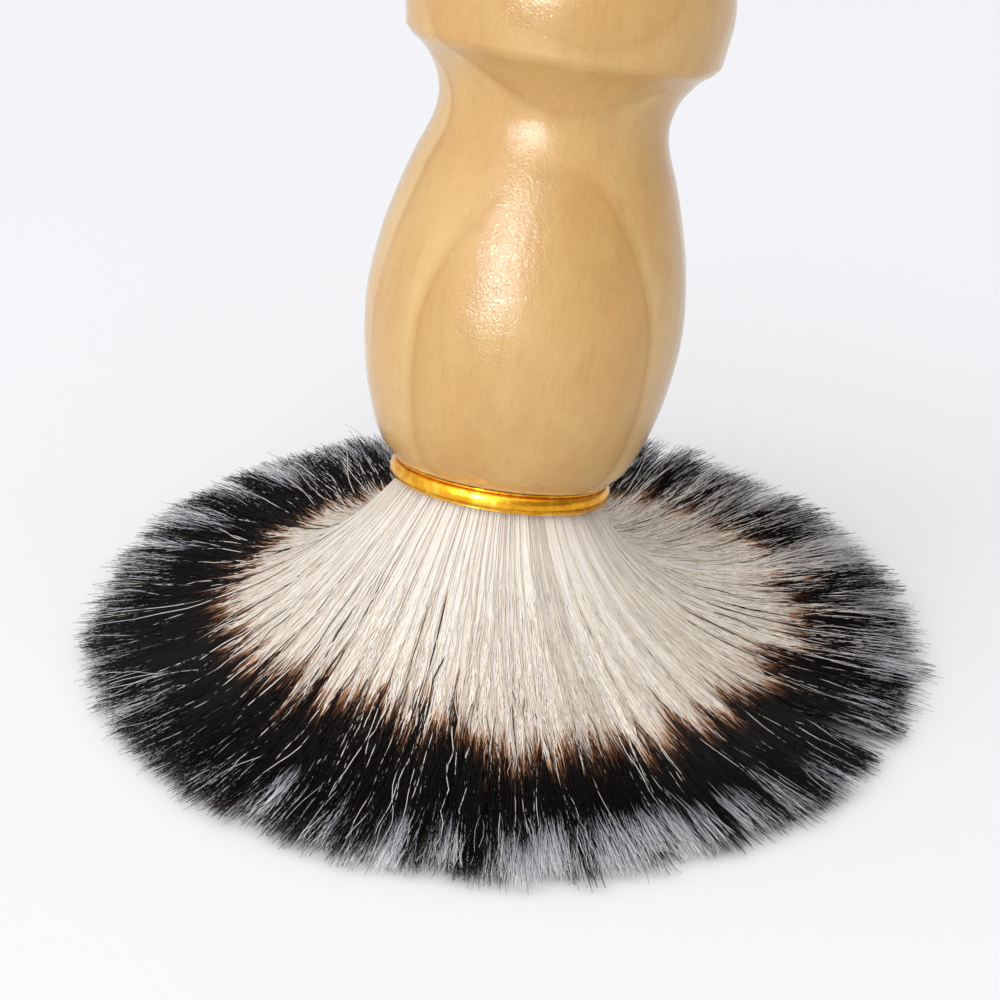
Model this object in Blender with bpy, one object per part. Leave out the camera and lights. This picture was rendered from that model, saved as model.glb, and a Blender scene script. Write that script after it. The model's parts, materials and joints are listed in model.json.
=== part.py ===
"""Fade brush: a turned wooden handle with a gold ring and a knot of fine hair.

The brush stands pressed on its hair, which spreads into a flat round fan, with
the handle leaning back and a little to the right. The origin is the middle of
the fan on the surface it is pressed on, +Z is up, and the handle leans to +Y.

Positions along the handle are "stations": distances up the handle's own axis
from the middle of the gold ring, so the hair below the ring is negative.
"""

import math

import bmesh
import bpy
from mathutils import Vector

MM = 0.001
GAP = 0.3 * MM

# How the handle stands over the fan
LEAN_BACK = math.radians(15.2)
LEAN_SIDE = math.radians(8.2)
RING_PLACE = Vector((0.0, -2.2, 23.0)) * MM

# Turned wooden handle
HANDLE_FOOT = 1.2 * MM
HANDLE_TOP = 56.0 * MM
FOOT_RADIUS = 11.7 * MM
BULB_RADIUS = 16.72 * MM
NECK_RADIUS = 12.1 * MM
COLLAR_EDGE_RADIUS = 16.45 * MM
COLLAR_RADIUS = 17.05 * MM
END_FACE_RADIUS = 15.0 * MM
SOCKET_RADIUS = 10.0 * MM
SOCKET_END = 11.5 * MM
HANDLE_SIDES = 40
OUTLINE_STEPS = 3

# Gold ring
RING_OUTER = 11.75 * MM
RING_INNER = 10.65 * MM
RING_HEIGHT = 2.1 * MM
RING_SIDES = 40
BEAD_STEPS = 6

# Resin plug that holds the hair, the glue around it and the thread below it
GLUE_WALL = 0.5 * MM
PLUG_SIDES = 32
THREAD_RADIUS = 0.26 * MM
THREAD_PITCH = 0.62 * MM
THREAD_TURNS = 3
THREAD_POINTS_PER_TURN = 16
ROOT_RADIUS = 8.5 * MM

# Hair
HAIR_TOP = 4.3 * MM
WAIST_RADIUS = 9.9 * MM
RIM_RADIUS = 10.3 * MM
RIM_STATION = -1.2 * MM
FAN_RADIUS = 45.9 * MM
TIP_THICKNESS = 1.4 * MM
SPLAY = math.radians(34)
TIP_SLOPE = math.radians(12)
REACH = 0.36
LOCK_COUNT = 20
FOOT_SHARE = 0.4
LOCK_SHARES = (0.0, 0.14, 0.27, 0.4, 0.55, 0.7, 0.82, 0.92, 1.0)
ROUNDING_START = 0.78
TIP_WIDTH = 0.4
PARTING_DEPTH = 0.35 * MM
CORE_TOP_RADIUS = 3.2 * MM
CORE_FOOT_RADIUS = 8.0 * MM
CORE_FOOT_PLACE = Vector((-1.5, -4.0, 0.0)) * MM
CORE_SIDES = 24
CORE_STEPS = 6

# Colours: red, green, blue, roughness, metallic
BIRCH = (0.72, 0.48, 0.24, 0.35, 0.0)
GOLD = (0.80, 0.48, 0.06, 0.22, 1.0)
RESIN = (0.30, 0.22, 0.13, 0.30, 0.0)
GLUE = (0.80, 0.76, 0.66, 0.25, 0.0)
THREAD = (0.85, 0.82, 0.75, 0.80, 0.0)
HAIR = (0.78, 0.73, 0.69, 0.60, 0.0)


def clear_scene():
    for item in list(bpy.data.objects):
        bpy.data.objects.remove(item, do_unlink=True)


def material(name, finish):
    made = bpy.data.materials.new(name)
    made.use_nodes = True
    shader = made.node_tree.nodes["Principled BSDF"]
    shader.inputs["Base Color"].default_value = (*finish[:3], 1.0)
    shader.inputs["Roughness"].default_value = finish[3]
    shader.inputs["Metallic"].default_value = finish[4]
    return made


def add_object(name, data, finish, parent=None):
    item = bpy.data.objects.new(name, data)
    bpy.context.scene.collection.objects.link(item)
    item.parent = parent
    data.materials.append(finish)
    return item


def mesh_object(name, bm, finish, parent=None, sharp=math.radians(40)):
    bmesh.ops.recalc_face_normals(bm, faces=bm.faces)
    mesh = bpy.data.meshes.new(name)
    bm.to_mesh(mesh)
    bm.free()
    item = add_object(name, mesh, finish, parent)
    mesh.shade_smooth()
    mesh.set_sharp_from_angle(angle=sharp)
    return item


def handle_axis():
    """An empty at the ring's centre whose +Z runs up the leaning handle."""
    axis = bpy.data.objects.new("handle_axis", None)
    bpy.context.scene.collection.objects.link(axis)
    axis.location = RING_PLACE
    axis.rotation_mode = "YXZ"
    axis.rotation_euler = (-LEAN_BACK, LEAN_SIDE, 0.0)
    bpy.context.view_layer.update()
    return axis


def smooth_run(points, steps):
    """A smooth curve through the points, (radius, station) pairs."""
    run = []
    ends = [points[0], *points, points[-1]]
    for before, start, end, after in zip(ends, ends[1:], ends[2:], ends[3:]):
        for step in range(steps):
            t = step / steps
            run.append(tuple(
                0.5 * (2 * b + (c - a) * t + (2 * a - 5 * b + 4 * c - d) * t * t
                       + (3 * b - a - 3 * c + d) * t ** 3)
                for a, b, c, d in zip(before, start, end, after)))
    run.append(points[-1])
    return run


def arc(radius, centre, start, end, steps):
    """Points on a round edge, (radius, station) pairs, from angle to angle."""
    angles = [start + (end - start) * step / steps for step in range(steps + 1)]
    return [(centre[0] + radius * math.cos(a), centre[1] + radius * math.sin(a))
            for a in angles]


def turn(bm, outline, sides, closed=False):
    """Turns an outline of (radius, station) points into a closed solid."""
    rings = []
    for radius, station in outline:
        if radius < 1e-9:
            rings.append([bm.verts.new((0.0, 0.0, station))])
            continue
        rings.append([
            bm.verts.new((radius * math.cos(math.tau * side / sides),
                          radius * math.sin(math.tau * side / sides), station))
            for side in range(sides)])
    pairs = list(zip(rings, rings[1:]))
    if closed:
        pairs.append((rings[-1], rings[0]))
    for one, two in pairs:
        for side in range(sides):
            after = (side + 1) % sides
            corners = [one[side % len(one)], one[after % len(one)],
                       two[after % len(two)], two[side % len(two)]]
            bm.faces.new(list(dict.fromkeys(corners)))


def handle_outline():
    """The handle from its socket, over the outside, to its end face."""
    foot_edge = 0.4 * MM
    foot = arc(foot_edge, (FOOT_RADIUS - foot_edge, HANDLE_FOOT + foot_edge),
               -math.pi / 2, 0.0, 2)
    body = smooth_run([
        (FOOT_RADIUS + 0.45 * MM, 2.0 * MM),
        (13.2 * MM, 3.2 * MM),
        (14.6 * MM, 6.3 * MM),
        (16.0 * MM, 11.5 * MM),
        (BULB_RADIUS, 18.0 * MM),
        (16.2 * MM, 24.0 * MM),
        (15.2 * MM, 28.6 * MM),
        (13.85 * MM, 33.2 * MM),
        (12.5 * MM, 36.8 * MM),
        (NECK_RADIUS, 39.4 * MM),
        (12.7 * MM, 42.0 * MM),
        (14.2 * MM, 44.2 * MM),
        (15.8 * MM, 45.5 * MM),
    ], OUTLINE_STEPS)
    collar = smooth_run([
        (COLLAR_EDGE_RADIUS, 46.3 * MM),
        (COLLAR_RADIUS, 51.0 * MM),
        (COLLAR_EDGE_RADIUS + 0.3 * MM, 54.2 * MM),
    ], OUTLINE_STEPS)
    end_edge = HANDLE_TOP - 54.8 * MM
    end = arc(end_edge, (END_FACE_RADIUS, HANDLE_TOP - end_edge), 0.5, math.pi / 2, 3)
    socket = [(0.0, SOCKET_END), (SOCKET_RADIUS, SOCKET_END), (SOCKET_RADIUS, HANDLE_FOOT)]
    return socket + foot + body + collar + end + [(0.0, HANDLE_TOP)]


def make_handle(axis, finish):
    bm = bmesh.new()
    turn(bm, handle_outline(), HANDLE_SIDES)
    return mesh_object("handle", bm, finish, axis)


def make_ring(axis, finish):
    """A plain ring whose outer face is a full round bead."""
    half = RING_HEIGHT / 2
    bead = 0.75 * MM
    outline = [(RING_INNER, half), (RING_INNER, -half)]
    for step in range(BEAD_STEPS + 1):
        angle = math.pi * (step / BEAD_STEPS - 0.5)
        outline.append((RING_OUTER - bead + bead * math.cos(angle), half * math.sin(angle)))
    bm = bmesh.new()
    turn(bm, outline, RING_SIDES, closed=True)
    return mesh_object("ferrule_ring", bm, finish, axis)


def make_glue(axis, finish):
    """The cup of glue between the socket and the plug, open towards the hair."""
    outer = SOCKET_RADIUS - GAP
    inner = outer - GLUE_WALL
    top = SOCKET_END - GAP
    foot = HAIR_TOP
    outline = [(0.0, top), (outer, top), (outer, foot), (inner, foot),
               (inner, top - GLUE_WALL), (0.0, top - GLUE_WALL)]
    bm = bmesh.new()
    turn(bm, outline, PLUG_SIDES)
    return mesh_object("glue_layer", bm, finish, axis)


def make_plug(axis, finish):
    """The resin block in which the roots of all the hair are cast."""
    radius = SOCKET_RADIUS - GAP - GLUE_WALL - GAP
    top = SOCKET_END - GAP - GLUE_WALL - GAP
    foot = HAIR_TOP
    bevel = 0.4 * MM
    outline = [(0.0, top), (radius - bevel, top), (radius, top - bevel),
               (radius, foot), (0.0, foot)]
    bm = bmesh.new()
    turn(bm, outline, PLUG_SIDES)
    return mesh_object("knot_plug", bm, finish, axis)


def make_thread(axis, finish):
    """Three turns of thread that bind the roots just below the plug."""
    radius = ROOT_RADIUS + GAP + THREAD_RADIUS
    first = HANDLE_FOOT + 2 * THREAD_RADIUS
    count = THREAD_TURNS * THREAD_POINTS_PER_TURN
    curve = bpy.data.curves.new("binding_thread", "CURVE")
    curve.dimensions = "3D"
    curve.bevel_depth = THREAD_RADIUS
    curve.bevel_resolution = 1
    curve.use_fill_caps = True
    spline = curve.splines.new("POLY")
    spline.points.add(count)
    for index, point in enumerate(spline.points):
        angle = math.tau * index / THREAD_POINTS_PER_TURN
        height = first + THREAD_PITCH * index / THREAD_POINTS_PER_TURN
        point.co = (radius * math.cos(angle), radius * math.sin(angle), height, 1.0)
    return add_object("binding_thread", curve, finish, axis)


class HairShape:
    """Where the hair runs: out of the ring, flaring down on to the surface."""

    def __init__(self, axis):
        self.matrix = axis.matrix_world.copy()
        self.up = (self.matrix.to_3x3() @ Vector((0, 0, 1))).normalized()

    def outward(self, azimuth):
        """The direction in the ring's plane that points towards an azimuth."""
        level = Vector((math.cos(azimuth), math.sin(azimuth), 0.0))
        return (level - level.dot(self.up) * self.up).normalized()

    def at_ring(self, azimuth, radius, station):
        return RING_PLACE + self.up * station + self.outward(azimuth) * radius

    def on_top(self, azimuth, share):
        """The fan's upper surface, from the ring at 0 to the tips at 1."""
        out = self.outward(azimuth)
        start = self.at_ring(azimuth, RIM_RADIUS, RIM_STATION)
        end = Vector((FAN_RADIUS * math.cos(azimuth), FAN_RADIUS * math.sin(azimuth),
                      TIP_THICKNESS))
        leave = out * math.sin(SPLAY) - self.up * math.cos(SPLAY)
        level = Vector((end.x - start.x, end.y - start.y, 0.0)).normalized()
        arrive = level * math.cos(TIP_SLOPE) - Vector((0, 0, math.sin(TIP_SLOPE)))
        reach = REACH * (end - start).length
        rest = 1.0 - share
        return (start * rest ** 3
                + (start + leave * reach) * (3 * rest ** 2 * share)
                + (end - arrive * reach) * (3 * rest * share ** 2)
                + end * share ** 3)

    def on_core(self, azimuth, share, spare=0.0):
        """The core's side, from the ring at 0 to the surface at 1."""
        high = self.at_ring(azimuth, CORE_TOP_RADIUS + spare, RIM_STATION)
        level = Vector((math.cos(azimuth), math.sin(azimuth), 0.0))
        low = CORE_FOOT_PLACE + level * (CORE_FOOT_RADIUS + spare)
        place = high.lerp(low, share)
        place.z = high.z * (1.0 - share) ** 1.15
        return place

    def under(self, azimuth, share):
        """A lock's underside: down the core, then out along the surface."""
        if share < FOOT_SHARE:
            return self.on_core(azimuth, share / FOOT_SHARE, GAP)
        foot = self.on_core(azimuth, 1.0, GAP)
        tip = Vector((FAN_RADIUS * math.cos(azimuth), FAN_RADIUS * math.sin(azimuth), 0.0))
        return foot.lerp(tip, (share - FOOT_SHARE) / (1.0 - FOOT_SHARE))


def lock_width(share):
    """How much of its sector a lock fills: all of it, rounded off at the tips."""
    drawn = max(0.0, (share - ROUNDING_START) / (1.0 - ROUNDING_START))
    return math.sqrt(1.0 - (1.0 - TIP_WIDTH ** 2) * drawn ** 2)


def half_angle(place, middle):
    """Half a lock's sector, less half the gap to its neighbour at that place."""
    sector = math.pi / LOCK_COUNT
    edge = middle + sector
    turn_step = 0.01
    length = (place(edge + turn_step) - place(edge)).length / turn_step
    return sector - 0.5 * GAP / length


def lock_section(middle, width, top, under):
    """One cross-section of a lock: five points on top, three underneath.

    top and under give the point at an azimuth on the lock's two surfaces.
    """
    top_half = half_angle(top, middle) * width
    under_half = half_angle(under, middle) * width
    corners = []
    for side in (-1.0, -0.5, 0.0, 0.5, 1.0):
        point = top(middle + side * top_half)
        point.z -= PARTING_DEPTH * side ** 2
        corners.append(point)
    for side in (1.0, 0.0, -1.0):
        corners.append(under(middle + side * under_half))
    return corners


def lock_sections(shape, middle):
    """All the cross-sections of one lock, from its root to its tips."""
    sections = []
    root = [(HAIR_TOP - GAP, ROOT_RADIUS), (HANDLE_FOOT, ROOT_RADIUS),
            (0.3 * RIM_STATION, WAIST_RADIUS)]
    for station, radius in root:
        sections.append(lock_section(
            middle, 1.0,
            lambda azimuth: shape.at_ring(azimuth, radius, station),
            lambda azimuth: shape.at_ring(azimuth, CORE_TOP_RADIUS + GAP, station)))
    for share in LOCK_SHARES:
        sections.append(lock_section(
            middle, lock_width(share),
            lambda azimuth: shape.on_top(azimuth, share),
            lambda azimuth: shape.under(azimuth, share)))
    return sections


def skin(bm, sections, mirrored=False):
    """A closed solid through a row of closed sections, capped at both ends.

    Where mirrored, the two halves of each section are split into triangles as
    mirror images, so that the facing walls of two neighbours match.
    """
    rows = [[bm.verts.new(point) for point in section] for section in sections]
    count = len(rows[0])
    for one, two in zip(rows, rows[1:]):
        for index in range(count):
            after = (index + 1) % count
            corners = [one[index], one[after], two[after], two[index]]
            if not mirrored:
                bm.faces.new(corners)
                continue
            if (index + count // 4) % count < count // 2:
                corners = corners[1:] + corners[:1]
            bm.faces.new(corners[:3])
            bm.faces.new([corners[2], corners[3], corners[0]])
    bm.faces.new(rows[0])
    bm.faces.new(rows[-1])


def make_locks(shape, finish):
    for number in range(LOCK_COUNT):
        bm = bmesh.new()
        skin(bm, lock_sections(shape, math.tau * number / LOCK_COUNT), mirrored=True)
        mesh_object(f"hair_lock_{number + 1:02d}", bm, finish)


def make_core(shape, finish):
    """The middle of the knot, which runs down inside the locks."""
    azimuths = [math.tau * side / CORE_SIDES for side in range(CORE_SIDES)]
    sections = [[shape.at_ring(a, CORE_TOP_RADIUS, HAIR_TOP - GAP) for a in azimuths]]
    for step in range(CORE_STEPS + 1):
        sections.append([shape.on_core(a, step / CORE_STEPS) for a in azimuths])
    bm = bmesh.new()
    skin(bm, sections)
    return mesh_object("hair_core", bm, finish)


def build():
    clear_scene()
    axis = handle_axis()
    make_handle(axis, material("birch", BIRCH))
    make_ring(axis, material("gold", GOLD))
    make_glue(axis, material("glue", GLUE))
    make_plug(axis, material("resin", RESIN))
    make_thread(axis, material("thread", THREAD))
    shape = HairShape(axis)
    hair = material("hair", HAIR)
    make_core(shape, hair)
    make_locks(shape, hair)


build()
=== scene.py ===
import json
import math

import bmesh
import bpy
import numpy as np
from mathutils import Matrix, Vector


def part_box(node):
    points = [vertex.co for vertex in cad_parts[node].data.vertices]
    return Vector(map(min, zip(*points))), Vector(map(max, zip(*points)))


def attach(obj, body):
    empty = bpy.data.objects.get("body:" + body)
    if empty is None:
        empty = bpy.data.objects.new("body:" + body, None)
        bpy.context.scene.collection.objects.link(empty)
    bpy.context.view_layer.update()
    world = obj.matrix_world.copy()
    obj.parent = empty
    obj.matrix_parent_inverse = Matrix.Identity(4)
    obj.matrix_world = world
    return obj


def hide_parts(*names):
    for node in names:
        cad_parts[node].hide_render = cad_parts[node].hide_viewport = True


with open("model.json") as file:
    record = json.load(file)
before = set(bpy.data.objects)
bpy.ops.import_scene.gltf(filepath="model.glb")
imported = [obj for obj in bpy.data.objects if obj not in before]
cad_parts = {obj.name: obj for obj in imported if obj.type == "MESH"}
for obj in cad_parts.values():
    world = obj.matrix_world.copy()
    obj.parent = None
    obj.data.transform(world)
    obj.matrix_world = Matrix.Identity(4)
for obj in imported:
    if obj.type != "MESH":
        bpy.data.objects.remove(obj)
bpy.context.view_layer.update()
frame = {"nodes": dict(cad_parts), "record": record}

MM = 0.001

# ---------------------------------------------------------------- the frame

END_FACE = next(mount for mount in frame["record"]["mounts"] if mount["name"] == "handle_end_face")
UP = np.array(END_FACE["axis"])
RING_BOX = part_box("ferrule_ring")
RING = np.array((RING_BOX[0] + RING_BOX[1]) / 2)
HANDLE_TOP = float(np.dot(np.array(END_FACE["pos_m"]) - RING, UP))
LOCK_NAMES = sorted(name for name in frame["nodes"] if name.startswith("hair_lock_"))
LOCK_COUNT = len(LOCK_NAMES)
SECTOR = math.tau / LOCK_COUNT
FAN_RADIUS = max(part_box(name)[1].x for name in LOCK_NAMES)

# ---------------------------------------------------------- handle and ring
# Radii and stations, which are distances up the handle's axis from the middle
# of the ring, as in the CAD model.

HANDLE_FOOT = 1.2 * MM
FOOT_RADIUS = 11.7 * MM
FOOT_EDGE = 0.4 * MM
FOOT_EDGE_STEPS = 8
BULB_RADIUS = 16.72 * MM
NECK_RADIUS = 12.1 * MM
COLLAR_EDGE_RADIUS = 16.45 * MM
COLLAR_RADIUS = 17.05 * MM
COLLAR_END = 54.8 * MM
END_FACE_RADIUS = 15.0 * MM
END_EDGE_START = 0.5
END_EDGE_STEPS = 10
SOCKET_RADIUS = 10.0 * MM
SOCKET_END = 11.5 * MM
HANDLE_SIDES = 256
OUTLINE_STEPS = 12
SHARP_EDGE = math.radians(35)

RING_OUTER = 11.75 * MM
RING_INNER = 10.65 * MM
RING_HEIGHT = 2.1 * MM
RING_BEAD = 0.62 * MM
RING_LIP = 0.14 * MM
RING_ROUNDNESS = 0.8
RING_STEPS = 32
RING_SIDES = 256

# The wood's growth layers, which bow gently: how far apart they are, how far
# behind the handle's axis, to its left and up it their centre lies, how far in
# front of the axis one of them passes, and how far they wander. They fade out
# between the two stations, on the way up to the collar.
GRAIN_SPACING = 6.0 * MM
GRAIN_CENTRE = 60.0 * MM
GRAIN_SIDE = 5.0 * MM
GRAIN_STATION = 26.0 * MM
GRAIN_ARCH = 13.6 * MM
GRAIN_DRIFT = 2.2 * MM
GRAIN_FADE = (42 * MM, 47 * MM)
COLLAR_GRAIN = 0.4
# A wave texture makes this many waves, times its scale, in a length of tau.
WAVE_RATE = 20

# --------------------------------------------------------------------- hair

# A hair grows from inside the ring and leaves it splayed. Depth says how near
# the outside of the knot it grows: 1 is the outermost, 0 the middle.
RIM_RADIUS = 10.3 * MM
RIM_STATION = -1.2 * MM
ROOT_STATION = 1.0 * MM
ROOT_INSET = 0.985
SPLAY = math.radians(34)
# Its tip lies near the floor, further out for the outer hairs.
INNER_TIP = 0.70
OUTER_TIP_GAIN = 0.285
TIP_CROWDING = 2.4
LOWEST_TIP = 0.12 * MM
TIP_HEIGHT = 1.0 * MM
TIP_SLOPE = math.radians(12)
FLOOR_GAP = 0.10 * MM
OUTER_FLOOR_GAP = 0.02 * MM
LOWEST_POINT = 0.02 * MM
# How far the handles of its Bezier curve reach, as a share of its span. The
# inner hairs run straight down before they turn outwards.
REACH = 0.36
INNER_REACH_GAIN = 0.42

HAIR_RADIUS = 0.070 * MM
HAIRS_PER_LOCK = 1300
HAIRS_IN_CORE = 900
CORE_DEPTH = 0.42
HAIR_POINTS = 24
HAIR_SIDES = 3
# The points stand a little closer together towards the tip.
POINT_CROWDING = 0.85
# The length by which a hair's colour bands are measured.
BAND_LENGTH = 43.0 * MM
SEED = 11

# Most hairs of a lock grow near its outside, where they are seen, and those that
# turn dark early lie on top. Pairs are the least value and the spread.
OUTER_SHARE = 0.78
OUTER_DEPTH = 0.13
OUTER_CROWDING = 2.2
INNER_DEPTH = (0.42, 0.5)
EARLY_DEPTH = (1.005, 0.015)

# The hairs gather in clumps, which differ in length, colour, lift and
# direction, and single hairs differ a little from their clump.
CLUMPS_PER_LOCK = 56
CLUMP_DEPTH = 0.28
CLUMP_CROWDING = 1.6
DEPTH_WEIGHT = 0.55
CLUMP_PULL = (0.25, 0.55)
DEPTH_PULL = 0.45
CLUMP_LENGTH = 0.016
CLUMP_BAND = 0.022
CLUMP_LIFT = 0.45 * MM
CLUMP_TURN = math.radians(0.9)
HAIR_LENGTH = 0.014
HAIR_BAND = 0.017
STRAY = math.radians(1.5)
WILD_SHARE = 0.025
WILD_TURN = math.radians(4.0)
WILD_LIFT = 12 * MM
# The length and the depth of a hair's small bends.
WAVES = ((14 * MM, 0.22 * MM), (7 * MM, 0.15 * MM))

# How wide the hair is parted between one lock and the next, in degrees,
# by the azimuth of the parting. The rest are hardly parted.
PARTINGS = {-27: 7.0, 9: 2.6, 27: 3.4, 45: 3.0, 63: 3.4, 117: 3.0, 135: 2.6, 153: 1.6}
SMALL_PARTING = 0.7

# The hair's colour column in its UV layer says which kind it is. Banded hairs
# with pale tips come first, then those that stay pale, those that turn dark
# early, and those that are banded with dark tips.
COLOUR_COLUMNS = 64
LIGHT_KIND = 24
DARK_KIND = 34
DARK_TIP_KIND = 42
# Where along a hair its colour ramp puts the end of its white part.
RAMP_WHITE_END = 0.62
# The share of hairs that turn dark early, how much earlier they do so at most,
# how far most of them stay below that, and how thick they are.
EARLY_DARK = 0.013
EARLY_BY = 0.36
EARLY_BIAS = 3.0
EARLY_WIDTH = 0.95

# These tables go by azimuth in degrees: 270 is the front and 0 the right.
# How far along the hair its white part ends.
WHITE_ENDS = ((0, 0.705), (30, 0.71), (60, 0.72), (90, 0.66), (120, 0.65), (150, 0.60),
              (180, 0.635), (205, 0.635), (232, 0.625), (255, 0.61), (270, 0.66), (285, 0.68),
              (310, 0.655), (330, 0.65), (360, 0.705))
# The share of hairs that stay pale to the tip.
PALE_SHARES = ((0, 0.07), (45, 0.10), (90, 0.10), (140, 0.06), (180, 0.03), (230, 0.04),
               (262, 0.04), (300, 0.03), (330, 0.04), (360, 0.07))
# The share of the others that end dark, mostly whole clumps together.
DARK_TIPS = ((0, 0.68), (45, 0.58), (90, 0.55), (140, 0.62), (180, 0.84), (225, 0.84),
             (250, 0.68), (275, 0.31), (300, 0.54), (330, 0.85), (360, 0.68))
CLUMP_SAY = 0.86
# The share of whole clumps that stay pale, which part the dark band, and how
# many of such a clump's hairs do.
PALE_CLUMPS = ((0, 0.10), (20, 0.18), (80, 0.18), (115, 0.08), (150, 0.0), (330, 0.0), (360, 0.10))
PALE_IN_CLUMP = 0.85
# The share of pale hairs in the gaps between the dark tufts, and where a gap
# begins and is widest, measured from the middle of a tuft.
PALE_GAPS = ((0, 0.40), (15, 0.75), (95, 0.75), (115, 0.3), (138, 0.0), (345, 0.0), (360, 0.40))
TUFTS_PER_LOCK = 3
TUFT_SIDES = (math.radians(1.5), math.radians(2.6))
# How far out the tips reach, as a share of the fan's radius.
TIP_REACHES = ((0, 1.0), (60, 1.02), (130, 1.02), (180, 0.995), (205, 0.975), (232, 0.955),
               (255, 0.975), (272, 1.0), (360, 1.0))
# How much the tips at the back stand off the floor, in millimetres.
TIP_LIFTS = ((0, 0.3), (40, 1.6), (90, 2.4), (140, 2.6), (175, 0.8), (200, 0.0), (340, 0.0),
             (360, 0.3))

# -------------------------------------------------- floor, light and camera

FLOOR_RADIUS = 4.0
FLOOR_SIDES = 96
# Each soft box's azimuth, 0 being the camera's side, elevation, distance, size,
# power, and whether it only makes highlights.
SOFT_BOXES = {
    "strip": (-23, 28, 1.6, (0.16, 0.75), 46.0, True),
    "front": (-30, 40, 2.4, (3.0, 3.0), 32.0, False),
    "top": (45, 64, 2.6, (2.6, 2.6), 17.0, False),
    "left": (-80, 45, 2.4, (2.2, 2.2), 5.5, False),
}
LIGHT_TARGET = Vector((0, 0, 30 * MM))
STUDIO_COLOUR = (0.97, 0.98, 1.0, 1.0)
STUDIO_LEFT = 0.98
STUDIO_RIGHT = 0.34
CAMERA_SENSOR = 36
CAMERA_LENS = 121.3
CAMERA_ELEVATION = math.radians(28.54)
CAMERA_DISTANCE = 361 * MM
CAMERA_TARGET = Vector((0, 0, 19.14 * MM))
CAMERA_NEAREST = 0.01


# ---------------------------------------------------------------- materials

def srgb(red, green, blue):
    """A colour given as it looks on a screen, 0 to 255, as Blender's linear values."""
    def linear(value):
        value /= 255
        return value / 12.92 if value <= 0.04045 else ((value + 0.055) / 1.055) ** 2.4
    return (linear(red), linear(green), linear(blue), 1.0)


def grey(value):
    return (value, value, value, 1.0)


class Nodes:
    """A material's node tree, with short calls to add and link nodes."""

    def __init__(self, name):
        self.material = bpy.data.materials.new(name)
        self.material.use_nodes = True
        self.tree = self.material.node_tree
        self.shader = self.tree.nodes["Principled BSDF"]

    def add(self, kind, **settings):
        node = self.tree.nodes.new(kind)
        for key, value in settings.items():
            setattr(node, key, value)
        return node

    def link(self, source, target):
        self.tree.links.new(source, target)

    def feed(self, socket, value):
        """Puts a plain value into a socket, or links another node's output to it."""
        if isinstance(value, (int, float, tuple)):
            socket.default_value = value
        else:
            self.link(value, socket)

    def set(self, **values):
        """Plain values on the shader, such as coat_roughness=0.1."""
        for key, value in values.items():
            socket = key.replace("_", " ").title().replace("Ior", "IOR")
            self.shader.inputs[socket].default_value = value

    def place(self):
        return self.add("ShaderNodeTexCoord").outputs["Object"]

    def split(self, vector):
        node = self.add("ShaderNodeSeparateXYZ")
        self.link(vector, node.inputs[0])
        return node.outputs

    def math(self, operation, first, second):
        node = self.add("ShaderNodeMath", operation=operation)
        self.feed(node.inputs[0], first)
        self.feed(node.inputs[1], second)
        return node.outputs[0]

    def mix(self, factor, one, two, blend="MIX"):
        node = self.add("ShaderNodeMix", data_type="RGBA", blend_type=blend)
        self.feed(node.inputs[0], factor)
        self.feed(node.inputs[6], one)
        self.feed(node.inputs[7], two)
        return node.outputs[2]

    def ramp(self, source, stops):
        node = self.add("ShaderNodeValToRGB")
        stop = node.color_ramp.elements
        while len(stop) < len(stops):
            stop.new(1.0)
        for element, (place, colour) in zip(stop, stops):
            element.position = place
            element.color = colour
        self.link(source, node.inputs[0])
        return node.outputs[0]

    def noise(self, vector, scale, detail, roughness=0.5, output=0):
        node = self.add("ShaderNodeTexNoise")
        node.inputs["Scale"].default_value = scale
        node.inputs["Detail"].default_value = detail
        node.inputs["Roughness"].default_value = roughness
        self.link(vector, node.inputs["Vector"])
        return node.outputs[output]

    def mapping(self, source, scale=(1, 1, 1), rotation=(0, 0, 0), location=(0, 0, 0)):
        node = self.add("ShaderNodeMapping")
        node.inputs["Scale"].default_value = scale
        node.inputs["Rotation"].default_value = rotation
        node.inputs["Location"].default_value = location
        self.link(source, node.inputs["Vector"])
        return node.outputs[0]

    def bump(self, height, strength, distance, normal=None):
        node = self.add("ShaderNodeBump")
        node.inputs["Strength"].default_value = strength
        node.inputs["Distance"].default_value = distance
        self.link(height, node.inputs["Height"])
        if normal:
            self.link(normal, node.inputs["Normal"])
        return node.outputs[0]


def map_range(node, low, high, low_result, high_result):
    """Sets a Map Range node to run from one result to the other."""
    for socket, value in (("From Min", low), ("From Max", high),
                          ("To Min", low_result), ("To Max", high_result)):
        node.inputs[socket].default_value = value
    return node.outputs["Result"]


def growth_layers(made, place):
    """How far through its growth layer each point of the wood is, 0 to 1. One
    layer comes out as an arch on the front of the bulb."""
    drift = made.noise(made.mapping(place, (1, 1, 0.4)), 60, 2, output=1)
    shift = made.add("ShaderNodeVectorMath", operation="SCALE")
    shift.inputs["Scale"].default_value = GRAIN_DRIFT
    made.link(drift, shift.inputs[0])
    bent = made.add("ShaderNodeVectorMath", operation="ADD")
    made.link(place, bent.inputs[0])
    made.link(shift.outputs[0], bent.inputs[1])
    middle = GRAIN_DRIFT / 2
    centre = (GRAIN_SIDE - middle, -GRAIN_CENTRE - middle, -GRAIN_STATION - middle)
    rings = made.add("ShaderNodeTexWave", wave_type="RINGS", rings_direction="SPHERICAL",
                     wave_profile="SAW")
    rings.inputs["Scale"].default_value = math.tau / WAVE_RATE / GRAIN_SPACING
    rings.inputs["Phase Offset"].default_value = (
        -math.tau * (GRAIN_CENTRE + GRAIN_ARCH) / GRAIN_SPACING)
    made.link(made.mapping(bent.outputs[0], location=centre), rings.inputs["Vector"])
    return rings.outputs["Fac"]


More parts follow.
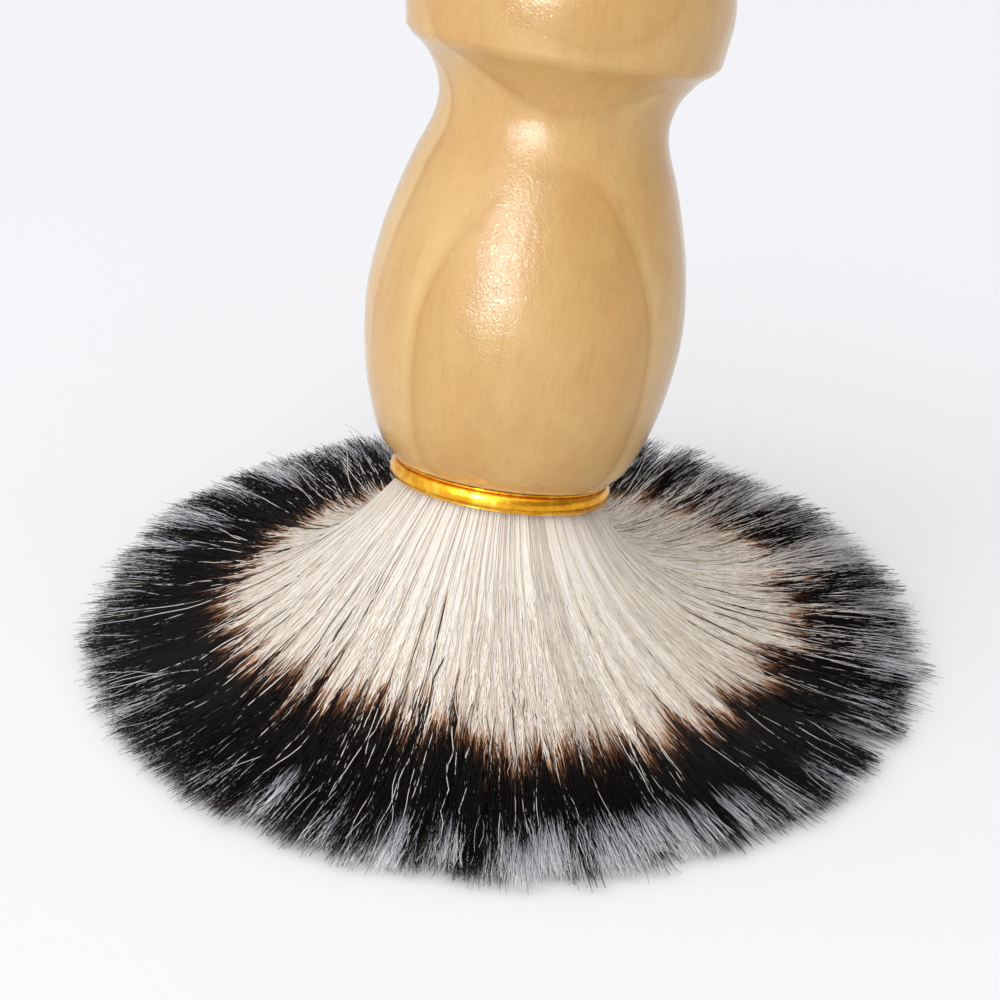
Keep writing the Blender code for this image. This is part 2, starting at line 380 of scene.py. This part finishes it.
def wood_material():
    """Pale birch with faint growth layers and fine pores under clear lacquer. The
    handle's own Z is its axis, and its own -Y looks towards the front."""
    made = Nodes("lacquered_birch")
    place = made.place()
    late, early = srgb(190, 146, 85), srgb(205, 164, 103)
    layers = made.ramp(growth_layers(made, place), [
        (0.0, late), (0.05, srgb(198, 155, 94)), (0.22, early), (0.60, srgb(210, 171, 110)),
        (0.88, srgb(217, 180, 121)), (0.96, early), (1.0, late)])
    # The layers show more in some places than in others, and least on the collar
    patches = made.ramp(made.noise(made.mapping(place, (1, 1, 0.6)), 70, 1),
                        [(0.36, grey(0.25)), (0.56, grey(0.85))])
    fade = made.add("ShaderNodeMapRange")
    made.link(made.split(place)["Z"], fade.inputs["Value"])
    shown = made.math("MULTIPLY", patches, map_range(fade, *GRAIN_FADE, 1.0, COLLAR_GRAIN))
    colour = made.mix(shown, srgb(209, 169, 108), layers)
    # Streaks, clouds and fine pores, drawn out along the grain
    streak = made.noise(made.mapping(place, (1, 1, 0.10)), 300, 4, 0.6)
    cloud = made.noise(made.mapping(place, (1, 1, 0.7)), 130, 5, 0.62)
    fibre = made.noise(made.mapping(place, (1, 1, 0.07)), 2400, 4, 0.6)
    streaks = made.ramp(streak, [(0.30, grey(0.90)), (0.58, grey(1.0))])
    clouds = made.ramp(cloud, [(0.34, srgb(245, 231, 215)), (0.62, grey(1.0))])
    fibres = made.ramp(fibre, [(0.30, grey(0.84)), (0.45, grey(1.0))])
    colour = made.mix(0.7, colour, streaks, "MULTIPLY")
    colour = made.mix(0.8, colour, clouds, "MULTIPLY")
    colour = made.mix(0.5, colour, fibres, "MULTIPLY")
    made.link(colour, made.shader.inputs["Base Color"])
    rough = made.ramp(fibre, [(0.3, grey(0.52)), (0.6, grey(0.40))])
    made.link(rough, made.shader.inputs["Roughness"])
    # The lacquer is finely stippled, which breaks up its highlights
    surface = made.bump(made.noise(place, 3600, 3, 0.6), 0.95, 0.065 * MM)
    dimples = made.noise(made.mapping(place, (1, 1, 0.7)), 1500, 2)
    surface = made.bump(dimples, 0.5, 0.10 * MM, surface)
    made.link(surface, made.shader.inputs["Normal"])
    made.link(surface, made.shader.inputs["Coat Normal"])
    made.set(coat_weight=1.0, coat_roughness=0.08, coat_ior=1.30, ior=1.5, specular_ior_level=0.14)
    return made.material


def gold_material():
    """Bright yellow anodised metal with fine turning lines and small dings."""
    made = Nodes("gold_anodised")
    place = made.place()
    lines = made.noise(made.mapping(place, (0.05, 0.05, 1)), 9000, 2)
    worn = made.noise(place, 700, 4, 0.6)
    colour = made.ramp(worn, [(0.3, srgb(214, 136, 22)), (0.55, srgb(236, 172, 46)),
                              (0.8, srgb(250, 204, 90))])
    made.link(colour, made.shader.inputs["Base Color"])
    rough = made.ramp(worn, [(0.35, grey(0.20)), (0.75, grey(0.36))])
    made.link(rough, made.shader.inputs["Roughness"])
    surface = made.bump(lines, 0.10, 0.02 * MM)
    surface = made.bump(worn, 0.20, 0.05 * MM, surface)
    made.link(surface, made.shader.inputs["Normal"])
    made.set(metallic=1.0)
    return made.material


def hair_material():
    """Banded hair. v runs from root to tip, and u says which kind of hair it is."""
    made = Nodes("banded_hair")
    uv = made.add("ShaderNodeUVMap", uv_map="OFBake").outputs[0]
    parts = made.split(uv)
    across, along = parts["X"], parts["Y"]
    column = made.math("FLOOR", made.math("MULTIPLY", across, COLOUR_COLUMNS), 0.0)
    white_noise = made.add("ShaderNodeTexWhiteNoise", noise_dimensions="1D")
    made.link(column, white_noise.inputs["W"])
    chance = white_noise.outputs["Value"]
    pale, black = srgb(246, 241, 235), srgb(16, 11, 11)
    # The first tenth of each hair, next to the ring, is painted a little darker: painted shade
    # where the ring and the crowded hairs shade the roots
    root = [(0.0, srgb(234, 227, 219)), (0.10, pale)]
    colour = made.ramp(along, root + [
        (0.580, srgb(246, 238, 228)), (0.602, srgb(204, 160, 124)), (0.625, srgb(112, 72, 48)),
        (0.660, black), (0.830, black), (0.870, srgb(184, 182, 194)),
        (0.915, srgb(228, 228, 240)), (1.0, srgb(250, 250, 253))])
    light = made.ramp(along, root + [
        (0.62, pale), (0.74, srgb(230, 224, 222)), (0.90, srgb(230, 229, 235)),
        (1.0, srgb(246, 246, 250))])
    dark_tip = made.ramp(along, root + [
        (0.575, srgb(244, 236, 226)), (0.597, srgb(198, 148, 110)), (0.620, srgb(88, 54, 36)),
        (0.655, black), (0.95, black), (1.0, srgb(48, 42, 48))])
    # Early dark hairs turn dark at very different places, most of them late
    early = made.math("MULTIPLY", made.math("POWER", chance, EARLY_BIAS), EARLY_BY)
    dark = made.ramp(made.math("ADD", along, early), root + [
        (0.56, srgb(235, 226, 216)), (0.60, srgb(120, 84, 62)), (0.64, black), (1.0, black)])
    for start, kind in ((LIGHT_KIND, light), (DARK_KIND, dark), (DARK_TIP_KIND, dark_tip)):
        colour = made.mix(made.math("GREATER_THAN", across, start / COLOUR_COLUMNS), colour, kind)
    tint = made.ramp(chance, [(0.0, srgb(244, 237, 228)), (0.3, srgb(252, 249, 245)),
                              (0.7, grey(1.0)), (1.0, srgb(243, 243, 248))])
    colour = made.mix(1.0, colour, tint, "MULTIPLY")
    # Short fainter and darker stretches along each hair
    stretch = made.noise(made.mapping(uv, (431, 26, 1)), 1.0, 2, 0.6)
    mottle = made.ramp(stretch, [(0.34, srgb(234, 227, 218)), (0.50, grey(1.0))])
    colour = made.mix(0.7, colour, mottle, "MULTIPLY")
    made.link(colour, made.shader.inputs["Base Color"])
    made.set(roughness=0.45, specular_ior_level=0.08, ior=1.5)
    return made.material


def resin_material(name, deep, light):
    """Cast resin or glue: smooth, a little cloudy, with fine bubbles."""
    made = Nodes(name)
    place = made.place()
    cloud = made.ramp(made.noise(place, 260, 3), [(0.35, deep), (0.65, light)])
    made.link(cloud, made.shader.inputs["Base Color"])
    bubbles = made.noise(place, 2600, 1, 0.4)
    made.link(made.bump(bubbles, 0.2, 0.04 * MM), made.shader.inputs["Normal"])
    made.set(roughness=0.25, coat_weight=0.4)
    return made.material


def thread_material():
    """Twisted cotton: fine slanting strands across the thread."""
    made = Nodes("cotton_thread")
    strands = made.noise(made.mapping(made.place(), (1, 1, 3), (0.5, 0.3, 0)), 3200, 2, 0.6)
    made.link(made.ramp(strands, [(0.3, srgb(196, 186, 164)), (0.6, srgb(236, 230, 214))]),
              made.shader.inputs["Base Color"])
    made.link(made.bump(strands, 0.5, 0.06 * MM), made.shader.inputs["Normal"])
    made.set(roughness=0.85, sheen_weight=0.3)
    return made.material


def floor_material():
    """A plain pale studio floor."""
    made = Nodes("pale_floor")
    cloud = made.noise(made.place(), 3, 2)
    made.link(made.ramp(cloud, [(0.3, srgb(237, 237, 239)), (0.7, srgb(239, 239, 241))]),
              made.shader.inputs["Base Color"])
    made.set(roughness=0.6, specular_ior_level=0.2)
    return made.material


# ------------------------------------------------------------ turned pieces

def smooth_run(points, steps):
    """A smooth curve through the points, (radius, station) pairs."""
    run = []
    ends = [points[0], *points, points[-1]]
    for before, start, end, after in zip(ends, ends[1:], ends[2:], ends[3:]):
        for step in range(steps):
            t = step / steps
            run.append(tuple(
                0.5 * (2 * b + (c - a) * t + (2 * a - 5 * b + 4 * c - d) * t * t
                       + (3 * b - a - 3 * c + d) * t ** 3)
                for a, b, c, d in zip(before, start, end, after)))
    run.append(points[-1])
    return run


def arc(radius, centre, start, end, steps):
    """Points on a round edge, (radius, station) pairs, from angle to angle."""
    angles = [start + (end - start) * step / steps for step in range(steps + 1)]
    return [(centre[0] + radius * math.cos(a), centre[1] + radius * math.sin(a)) for a in angles]


def turned(name, outline, sides, material, closed=False):
    """A closed solid turned about the handle's axis, which becomes its own Z."""
    bm = bmesh.new()
    rows = []
    for radius, station in outline:
        if radius == 0.0:
            rows.append([bm.verts.new((0.0, 0.0, station))])
            continue
        rows.append([bm.verts.new((radius * math.cos(math.tau * side / sides),
                                   radius * math.sin(math.tau * side / sides), station))
                     for side in range(sides)])
    pairs = list(zip(rows, rows[1:]))
    if closed:
        pairs.append((rows[-1], rows[0]))
    for one, two in pairs:
        for side in range(sides):
            after = (side + 1) % sides
            corners = [one[side % len(one)], one[after % len(one)],
                       two[after % len(two)], two[side % len(two)]]
            bm.faces.new(list(dict.fromkeys(corners)))
    bmesh.ops.recalc_face_normals(bm, faces=bm.faces)
    mesh = bpy.data.meshes.new(name)
    bm.to_mesh(mesh)
    bm.free()
    mesh.shade_smooth()
    mesh.set_sharp_from_angle(angle=SHARP_EDGE)
    mesh.materials.append(material)
    item = bpy.data.objects.new(name, mesh)
    bpy.context.scene.collection.objects.link(item)
    axis = Vector(UP)
    across = (Vector((1, 0, 0)) - axis * axis.x).normalized()
    turn = Matrix((across, axis.cross(across), axis)).transposed()
    item.matrix_world = Matrix.Translation(Vector(RING)) @ turn.to_4x4()
    return item


def handle_outline():
    """The handle from its socket, over the outside, to its end face."""
    foot = arc(FOOT_EDGE, (FOOT_RADIUS - FOOT_EDGE, HANDLE_FOOT + FOOT_EDGE),
               -math.pi / 2, 0.0, FOOT_EDGE_STEPS)
    body = smooth_run([
        (FOOT_RADIUS + 0.45 * MM, 2.0 * MM),
        (13.2 * MM, 3.2 * MM),
        (14.6 * MM, 6.3 * MM),
        (16.0 * MM, 11.5 * MM),
        (BULB_RADIUS, 18.0 * MM),
        (16.2 * MM, 24.0 * MM),
        (15.2 * MM, 28.6 * MM),
        (13.85 * MM, 33.2 * MM),
        (12.5 * MM, 36.8 * MM),
        (NECK_RADIUS, 39.4 * MM),
        (12.7 * MM, 42.0 * MM),
        (14.2 * MM, 44.2 * MM),
        (15.8 * MM, 45.5 * MM),
    ], OUTLINE_STEPS)
    collar = smooth_run([
        (COLLAR_EDGE_RADIUS, 46.3 * MM),
        (COLLAR_RADIUS, 51.0 * MM),
        (COLLAR_EDGE_RADIUS + 0.3 * MM, 54.2 * MM),
    ], OUTLINE_STEPS)
    end_edge = HANDLE_TOP - COLLAR_END
    end = arc(end_edge, (END_FACE_RADIUS, HANDLE_TOP - end_edge),
              END_EDGE_START, math.pi / 2, END_EDGE_STEPS)
    socket = [(0.0, SOCKET_END), (SOCKET_RADIUS, SOCKET_END), (SOCKET_RADIUS, HANDLE_FOOT)]
    return socket + foot + body + collar + end + [(0.0, HANDLE_TOP)]


def make_handle():
    item = turned("turned_handle", handle_outline(), HANDLE_SIDES, wood_material())
    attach(item, "root")
    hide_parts("handle")


def make_ring():
    """The gold ring: a rounded bead with a thin lip above and below it."""
    half = RING_HEIGHT / 2
    bead_foot = RING_OUTER - RING_BEAD
    outline = [(RING_INNER, half), (RING_INNER, -half), (bead_foot, -half)]
    for step in range(RING_STEPS + 1):
        angle = math.pi * (step / RING_STEPS - 0.5)
        outline.append((bead_foot + RING_BEAD * math.cos(angle) ** RING_ROUNDNESS,
                        (half - RING_LIP) * math.sin(angle)))
    outline.append((bead_foot, half))
    item = turned("gold_ring", outline, RING_SIDES, gold_material(), closed=True)
    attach(item, "root")
    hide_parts("ferrule_ring")


def finish_hidden_pieces():
    """The pieces inside the socket keep their CAD shape and get their finish."""
    finishes = {
        "knot_plug": resin_material("amber_resin", srgb(120, 84, 48), srgb(168, 124, 76)),
        "glue_layer": resin_material("set_glue", srgb(206, 196, 170), srgb(232, 226, 206)),
        "binding_thread": thread_material(),
    }
    for name, finish in finishes.items():
        mesh = frame["nodes"][name].data
        mesh.materials.clear()
        mesh.materials.append(finish)


# --------------------------------------------------------------------- hair

def unit(vectors):
    return vectors / np.linalg.norm(vectors, axis=-1, keepdims=True)


def smoothstep(low, high, value):
    t = np.clip((value - low) / (high - low), 0.0, 1.0)
    return t * t * (3 - 2 * t)


def level(azimuth):
    return np.stack([np.cos(azimuth), np.sin(azimuth), np.zeros_like(azimuth)], axis=-1)


def outward(azimuth):
    """The direction in the ring's plane that points towards an azimuth."""
    flat = level(azimuth)
    return unit(flat - (flat @ UP)[..., None] * UP)


def by_azimuth(table, azimuth):
    """A value from a table of (degrees, value) at each azimuth in radians."""
    degrees, values = zip(*table)
    return np.interp(np.degrees(azimuth) % 360, degrees, values)


def hair_place(azimuth, depth, share):
    """Points on hairs, from each point's azimuth, how near the outside its hair
    grows, and how far along the hair it is, root to tip."""
    out = outward(azimuth)
    near = depth[..., None]
    start = RING + UP * RIM_STATION + out * (RIM_RADIUS * near)
    tip_radius = FAN_RADIUS * (INNER_TIP + OUTER_TIP_GAIN * near ** TIP_CROWDING)
    tip_radius = tip_radius * by_azimuth(TIP_REACHES, azimuth)[..., None]
    end = level(azimuth) * tip_radius
    end[..., 2] += (LOWEST_TIP + TIP_HEIGHT * near[..., 0] ** 5)
    splay = SPLAY * near
    leave = out * np.sin(splay) - UP * np.cos(splay)
    run = end - start
    distance = np.linalg.norm(run, axis=-1, keepdims=True)
    flat = run.copy()
    flat[..., 2] = 0.0
    slope = TIP_SLOPE * near ** 3
    arrive = unit(flat) * np.cos(slope)
    arrive[..., 2] -= np.sin(slope)[..., 0]
    reach = (REACH + INNER_REACH_GAIN * (1 - np.minimum(near, 1.0))) * distance
    t = share[..., None]
    rest = 1.0 - t
    place = (start * rest ** 3
             + (start + leave * reach) * (3 * rest ** 2 * t)
             + (end - arrive * (REACH * distance)) * (3 * rest * t ** 2)
             + end * t ** 3)
    place[..., 2] = np.maximum(place[..., 2], FLOOR_GAP + OUTER_FLOOR_GAP * near[..., 0])
    return place


def parting_shift(azimuth, share, lock):
    """How far a hair near a parting is swept away from it, in radians."""
    shift = np.zeros_like(share)
    for side in (-1, 1):
        edge = lock * SECTOR + side * SECTOR / 2
        degrees = (round(math.degrees(edge)) + 180) % 360 - 180
        width = math.radians(PARTINGS.get(degrees, SMALL_PARTING)) / 2
        away = np.abs(azimuth - edge)[:, None]
        shift -= side * width * np.exp(-away / (1.3 * width + 0.02)) * smoothstep(0.35, 1.0, share)
    return shift


def waves(random, place, share, azimuth):
    """Small bends along each hair, sideways and up and down."""
    count = place.shape[0]
    side = np.stack([-np.sin(azimuth), np.cos(azimuth), np.zeros_like(azimuth)], axis=-1)
    along = share * BAND_LENGTH
    bends = np.zeros_like(place)
    for length, size in WAVES:
        period = length * (0.75 + 0.5 * random.random(count))[:, None]
        phase = math.tau * random.random(count)[:, None]
        strength = (size * np.abs(random.normal(0.0, 1.0, count))[:, None]
                    * smoothstep(0.0, 0.45, share))
        bends += side * (strength * np.sin(math.tau * along / period + phase))[..., None]
        bends[..., 2] += 0.5 * strength * np.cos(math.tau * along / period + 1.7 * phase)
    return bends


def colour_columns(random, azimuth, middle, clump, kind, early):
    """Each hair's colour column, which says which kind of hair it is."""
    count = len(azimuth)
    clump_kind = random.random(CLUMPS_PER_LOCK)[clump]
    say = CLUMP_SAY * clump_kind + (1 - CLUMP_SAY) * random.random(count)
    column = np.where(say < by_azimuth(DARK_TIPS, azimuth),
                      random.integers(DARK_TIP_KIND, COLOUR_COLUMNS, count),
                      random.integers(0, LIGHT_KIND, count))
    pale_clump = 1 - clump_kind < by_azimuth(PALE_CLUMPS, azimuth)
    pale = np.maximum(by_azimuth(PALE_SHARES, azimuth), PALE_IN_CLUMP * pale_clump)
    # On the right and behind, dark tufts stand apart with pale hair between
    places = (np.arange(TUFTS_PER_LOCK) + random.random(TUFTS_PER_LOCK)) / TUFTS_PER_LOCK
    tuft_azimuth = middle + SECTOR * (places - 0.5)
    gap = np.abs(azimuth[:, None] - tuft_azimuth[None, :]).min(axis=1)
    pale = np.maximum(pale, by_azimuth(PALE_GAPS, azimuth) * smoothstep(*TUFT_SIDES, gap))
    column = np.where(kind < pale, random.integers(LIGHT_KIND, DARK_KIND, count), column)
    return np.where(early, random.integers(DARK_KIND, DARK_TIP_KIND, count), column)


def lock_hairs(random, lock):
    """The hairs of one lock: their points, how far along each point is, the
    shift of their colour bands, and their colour columns."""
    count = HAIRS_PER_LOCK
    middle = lock * SECTOR
    azimuth = middle + SECTOR * (random.random(count) - 0.5)
    depth = np.where(random.random(count) < OUTER_SHARE,
                     1.0 - OUTER_DEPTH * random.random(count) ** OUTER_CROWDING,
                     INNER_DEPTH[0] + INNER_DEPTH[1] * random.random(count))
    kind = random.random(count)
    early = kind > 1 - EARLY_DARK
    depth[early] = EARLY_DEPTH[0] + EARLY_DEPTH[1] * random.random(count)[early]
    share = np.linspace(0.0, 1.0, HAIR_POINTS)[None, :] ** POINT_CROWDING

    # Each hair leans towards its nearest clump, more so towards the tips
    clump_azimuth = middle + SECTOR * (random.random(CLUMPS_PER_LOCK) - 0.5)
    clump_depth = 1.0 - CLUMP_DEPTH * random.random(CLUMPS_PER_LOCK) ** CLUMP_CROWDING
    apart = ((azimuth[:, None] - clump_azimuth[None, :]) ** 2
             + ((depth[:, None] - clump_depth[None, :]) * DEPTH_WEIGHT) ** 2)
    clump = apart.argmin(axis=1)
    pull = (CLUMP_PULL[0] + CLUMP_PULL[1] * random.random(CLUMPS_PER_LOCK))[clump][:, None]
    clump_length = random.normal(0.0, CLUMP_LENGTH, CLUMPS_PER_LOCK)[clump]
    clump_band = random.normal(0.0, CLUMP_BAND, CLUMPS_PER_LOCK)[clump]
    clump_lift = np.abs(random.normal(0.0, CLUMP_LIFT, CLUMPS_PER_LOCK))[clump]
    clump_turn = random.normal(0.0, CLUMP_TURN, CLUMPS_PER_LOCK)[clump]
    length = 1.0 + random.normal(0.0, HAIR_LENGTH, count) + clump_length

    grow = share * length[:, None]
    outer_half = smoothstep(0.45, 1.0, share)
    towards = (clump_azimuth[clump] - azimuth)[:, None] * (pull * outer_half)
    stray = random.normal(0.0, STRAY, count)[:, None] * share ** 2
    wild = (random.random(count) < WILD_SHARE) * random.normal(0.0, WILD_TURN, count)
    path_azimuth = (azimuth[:, None] + towards + stray + clump_turn[:, None] * outer_half
                    + wild[:, None] * smoothstep(0.4, 1.0, share)
                    + parting_shift(azimuth, share * np.ones_like(grow), lock))
    path_depth = (depth[:, None]
                  + (clump_depth[clump] - depth)[:, None] * (DEPTH_PULL * pull * outer_half))
    place = hair_place(path_azimuth, path_depth, grow)
    lift = (clump_lift + np.abs(wild) * WILD_LIFT)[:, None] * smoothstep(0.6, 1.0, share)
    place[..., 2] += lift + (by_azimuth(TIP_LIFTS, azimuth) * MM)[:, None] * outer_half
    place += waves(random, place, share, path_azimuth)

    band = (clump_band + random.normal(0.0, HAIR_BAND, count)
            + RAMP_WHITE_END - by_azimuth(WHITE_ENDS, azimuth))
    return place, share, band, colour_columns(random, azimuth, middle, clump, kind, early)


def core_hairs(random):
    """The hairs in the middle of the knot, which the locks cover."""
    count = HAIRS_IN_CORE
    azimuth = math.tau * random.random(count)
    depth = CORE_DEPTH * np.sqrt(random.random(count))
    share = np.linspace(0.0, 1.0, HAIR_POINTS)[None, :] * np.ones((count, 1))
    bent = azimuth[:, None] + random.normal(0.0, 0.15, count)[:, None] * share
    place = hair_place(bent, np.repeat(depth[:, None], HAIR_POINTS, axis=1), share)
    band = random.normal(0.0, 0.02, count)
    return place, share[:1], band, random.integers(0, COLOUR_COLUMNS, count)


def with_roots(place):
    """Adds each hair's hidden first point, up inside the ring."""
    centre = RING + UP * RIM_STATION
    inward = (place[:, :1, :] - centre) * ROOT_INSET
    return np.concatenate([centre + inward + UP * (ROOT_STATION - RIM_STATION), place], axis=1)


def tube_vertices(random, place, along, column):
    """Rings of vertices round each hair's points, shaped (hair, point, side, 3)."""
    step = np.diff(place, axis=1)
    tangent = unit(np.concatenate([step[:, :1], step[:, 1:] + step[:, :-1], step[:, -1:]], axis=1))
    side = unit(np.cross(np.array([0.0, 0.0, 1.0]), place - RING))
    one = unit(side - (side * tangent).sum(-1, keepdims=True) * tangent)
    two = np.cross(tangent, one)
    taper = 1.0 - 0.25 * smoothstep(0.4, 0.7, along) - 0.45 * smoothstep(0.75, 1.0, along)
    width = 1.0 + 0.14 * random.standard_normal(len(place)).clip(-2, 2)
    width[(column >= DARK_KIND) & (column < DARK_TIP_KIND)] *= EARLY_WIDTH
    thickness = HAIR_RADIUS * width[:, None] * taper[None, :]
    turns = math.tau * (np.arange(HAIR_SIDES) / HAIR_SIDES)
    ring = (one[:, :, None, :] * np.cos(turns)[None, None, :, None]
            + two[:, :, None, :] * np.sin(turns)[None, None, :, None])
    vertices = place[:, :, None, :] + ring * thickness[:, :, None, None]
    vertices[..., 2] = np.maximum(vertices[..., 2], LOWEST_POINT)
    return vertices


def tube_colours(place, band, column, face_shape):
    """The UV corners of each hair's sides and end caps. v is measured back from
    the tip, so that the bands line up, and shifted by the hair's own band."""
    steps = np.linalg.norm(np.diff(place, axis=1), axis=-1)
    lengths = np.concatenate([np.zeros((len(place), 1)), np.cumsum(steps, axis=1)], axis=1)
    from_tip = (lengths[:, -1:] - lengths) / BAND_LENGTH
    v = np.clip(1.0 - from_tip + band[:, None] * np.minimum(1.0, 4 * from_tip), 0.004, 0.996)
    # Each side of a tube has its own strip in the middle half of its column
    strips = 0.25 + 0.5 * np.arange(HAIR_SIDES)[None, :] / HAIR_SIDES
    left = (column[:, None] + strips) / COLOUR_COLUMNS
    right = left + 0.5 / HAIR_SIDES / COLOUR_COLUMNS
    sides_u = [np.broadcast_to(u[:, None, :], face_shape) for u in (left, right, right, left)]
    sides_v = [np.broadcast_to(part[:, :, None], face_shape)
               for part in (v[:, :-1], v[:, :-1], v[:, 1:], v[:, 1:])]
    caps_u = np.concatenate([left, left], axis=0)
    caps_v = np.concatenate([np.repeat(v[:, :1], HAIR_SIDES, axis=1),
                             np.repeat(v[:, -1:], HAIR_SIDES, axis=1)], axis=0)
    return np.stack([np.concatenate([np.stack(sides_u, axis=-1).ravel(), caps_u.ravel()]),
                     np.concatenate([np.stack(sides_v, axis=-1).ravel(), caps_v.ravel()])],
                    axis=-1)


def hair_piece(name, nodes, random, place, share, band, column, material):
    """One closed tapered tube for each hair, all in one mesh."""
    place = with_roots(place)
    along = np.concatenate([[0.0], share[0]])
    count, points = place.shape[:2]
    vertices = tube_vertices(random, place, along, column)
    index = np.arange(count * points * HAIR_SIDES).reshape(count, points, HAIR_SIDES)
    after = np.roll(index, -1, axis=2)
    quads = np.stack([index[:, :-1], after[:, :-1], after[:, 1:], index[:, 1:]],
                     axis=-1).reshape(-1, 4)
    caps = np.concatenate([index[:, 0, ::-1], index[:, -1, :]], axis=0)
    corners = np.concatenate([quads.ravel(), caps.ravel()])
    starts = np.concatenate([np.arange(len(quads)) * 4,
                             len(quads) * 4 + np.arange(len(caps)) * HAIR_SIDES])
    uvs = tube_colours(place, band, column, (count, points - 1, HAIR_SIDES))

    mesh = bpy.data.meshes.new(name)
    mesh.vertices.add(vertices.size // 3)
    mesh.vertices.foreach_set("co", vertices.astype(np.float32).ravel())
    mesh.loops.add(len(corners))
    mesh.loops.foreach_set("vertex_index", corners.astype(np.int32))
    mesh.polygons.add(len(starts))
    mesh.polygons.foreach_set("loop_start", starts.astype(np.int32))
    mesh.update(calc_edges=True)
    mesh.uv_layers.new(name="OFBake").uv.foreach_set("vector", uvs.astype(np.float32).ravel())
    mesh.shade_smooth()
    mesh.materials.append(material)
    item = bpy.data.objects.new(name, mesh)
    bpy.context.scene.collection.objects.link(item)
    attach(item, "root")
    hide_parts(*nodes)


def make_hair():
    material = hair_material()
    for lock, node in enumerate(LOCK_NAMES):
        random = np.random.default_rng(SEED + lock)
        hairs = lock_hairs(random, lock)
        hair_piece(f"strands_{lock + 1:02d}", [node], random, *hairs, material)
    random = np.random.default_rng(SEED + LOCK_COUNT)
    hair_piece("strands_core", ["hair_core"], random, *core_hairs(random), material)


# -------------------------------------------------- floor, light and camera

def make_floor():
    bpy.ops.mesh.primitive_circle_add(vertices=FLOOR_SIDES, radius=FLOOR_RADIUS, fill_type="NGON")
    floor = bpy.context.object
    floor.name = "floor"
    floor.data.materials.append(floor_material())


def orbit(target, azimuth, elevation, distance):
    """A place at an angle from the target, azimuth 0 being the camera's side, and
    the rotation that looks back at the target."""
    way = Vector((math.sin(azimuth) * math.cos(elevation),
                  -math.cos(azimuth) * math.cos(elevation),
                  math.sin(elevation)))
    return target + distance * way, (-way).to_track_quat("-Z", "Y").to_euler()


def make_light():
    """A pale studio, brighter on the left, with soft boxes round the brush."""
    world = bpy.data.worlds.new("studio")
    bpy.context.scene.world = world
    world.use_nodes = True
    tree = world.node_tree
    background = tree.nodes["Background"]
    background.inputs["Color"].default_value = STUDIO_COLOUR
    direction = tree.nodes.new("ShaderNodeTexCoord")
    split = tree.nodes.new("ShaderNodeSeparateXYZ")
    fade = tree.nodes.new("ShaderNodeMapRange")
    tree.links.new(direction.outputs["Generated"], split.inputs[0])
    tree.links.new(split.outputs["X"], fade.inputs["Value"])
    tree.links.new(map_range(fade, -1.0, 1.0, STUDIO_LEFT, STUDIO_RIGHT),
                   background.inputs["Strength"])
    for name, (azimuth, elevation, distance, size, power, only_shine) in SOFT_BOXES.items():
        light = bpy.data.lights.new(name, "AREA")
        light.shape = "RECTANGLE"
        light.size, light.size_y = size
        light.energy = power
        item = bpy.data.objects.new(name, light)
        item.location, item.rotation_euler = orbit(
            LIGHT_TARGET, math.radians(azimuth), math.radians(elevation), distance)
        item.visible_diffuse = not only_shine
        bpy.context.scene.collection.objects.link(item)


def make_camera():
    camera = bpy.data.cameras.new("camera")
    camera.sensor_width = CAMERA_SENSOR
    camera.lens = CAMERA_LENS
    camera.clip_start = CAMERA_NEAREST
    item = bpy.data.objects.new("camera", camera)
    item.location, item.rotation_euler = orbit(
        CAMERA_TARGET, 0.0, CAMERA_ELEVATION, CAMERA_DISTANCE)
    bpy.context.scene.collection.objects.link(item)
    bpy.context.scene.camera = item


make_camera()
make_light()
make_floor()
make_handle()
make_ring()
finish_hidden_pieces()
make_hair()
bpy.context.scene.view_settings.view_transform = "Standard"
